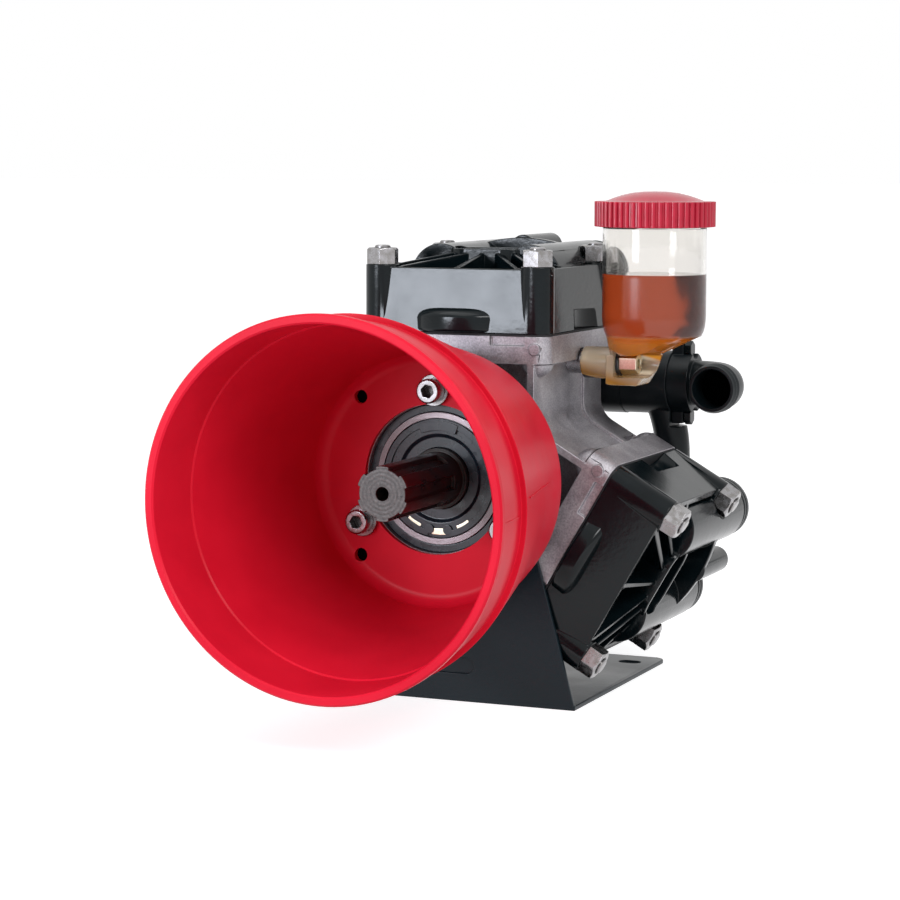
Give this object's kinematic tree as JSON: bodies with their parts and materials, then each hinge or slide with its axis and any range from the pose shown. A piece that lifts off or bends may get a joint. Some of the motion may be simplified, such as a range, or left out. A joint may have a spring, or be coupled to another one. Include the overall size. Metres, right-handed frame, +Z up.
{
  "type": "diaphragm pump",
  "caption": "Oil-backed diaphragm pump with black heads round an alloy crankcase, splined drive shaft in a red cup guard, clear oil cup and bent sheet foot.",
  "frame": {"origin": "on the floor, in the middle of the foot's four slots", "axes": "+Z up; +X to the right seen from the drive shaft's end; +Y from the shaft's end to the back of the pump"},
  "size_m": [0.322, 0.3897, 0.3355],
  "materials": {
    "cast_alloy": "satin",
    "black_rubber": "satin",
    "bearing_steel": "satin",
    "oiled_steel": "satin",
    "red_plastic": "gloss",
    "zinc_steel": "satin",
    "black_plastic": "satin",
    "black_paint": "gloss",
    "clear_plastic": "gloss",
    "oil": "gloss",
    "red_cap": "satin",
    "black_sheet": "satin",
    "diaphragm_rubber": "matte"
  },
  "bodies": {
    "body": {"bearing_ring": "bearing_steel", "bearing_seat": "black_rubber", "crankcase": "cast_alloy", "cup_bolt": "zinc_steel", "cup_spacer": "zinc_steel", "cup_washer": "black_rubber", "delivery_manifold": "black_paint", "diaphragm_left": "diaphragm_rubber", "diaphragm_right": "diaphragm_rubber", "diaphragm_top": "diaphragm_rubber", "elbow_bolts": "black_paint", "foot_bracket": "black_sheet", "foot_screws": "zinc_steel", "guard_screws": "zinc_steel", "guard_washers": "zinc_steel", "head_left": "black_paint", "head_nuts_left": "zinc_steel", "head_nuts_right": "zinc_steel", "head_nuts_top": "zinc_steel", "head_right": "black_paint", "head_top": "black_paint", "oil": "oil", "oil_cup": "clear_plastic", "pto_guard": "red_plastic", "rear_cover": "cast_alloy", "shaft_seal": "black_rubber", "suction_elbow": "black_plastic", "suction_manifold": "black_plastic", "valve_caps_left": "black_plastic", "valve_caps_right": "black_plastic", "valve_caps_top": "black_plastic"},
    "shaft": {"pto_shaft": "oiled_steel"},
    "cap": {"cup_cap": "red_cap"}
  },
  "joints": [
    {"name": "shaft_spin", "type": "hinge", "parent": "body", "child": "shaft", "pos_m": [0, -0.15, 0.15], "axis": [0, 1, 0], "continuous": true},
    {"name": "cap_turn", "type": "hinge", "parent": "body", "child": "cap", "pos_m": [0.116, -0.024, 0.325], "axis": [0, 0, 1], "continuous": true}
  ]
}
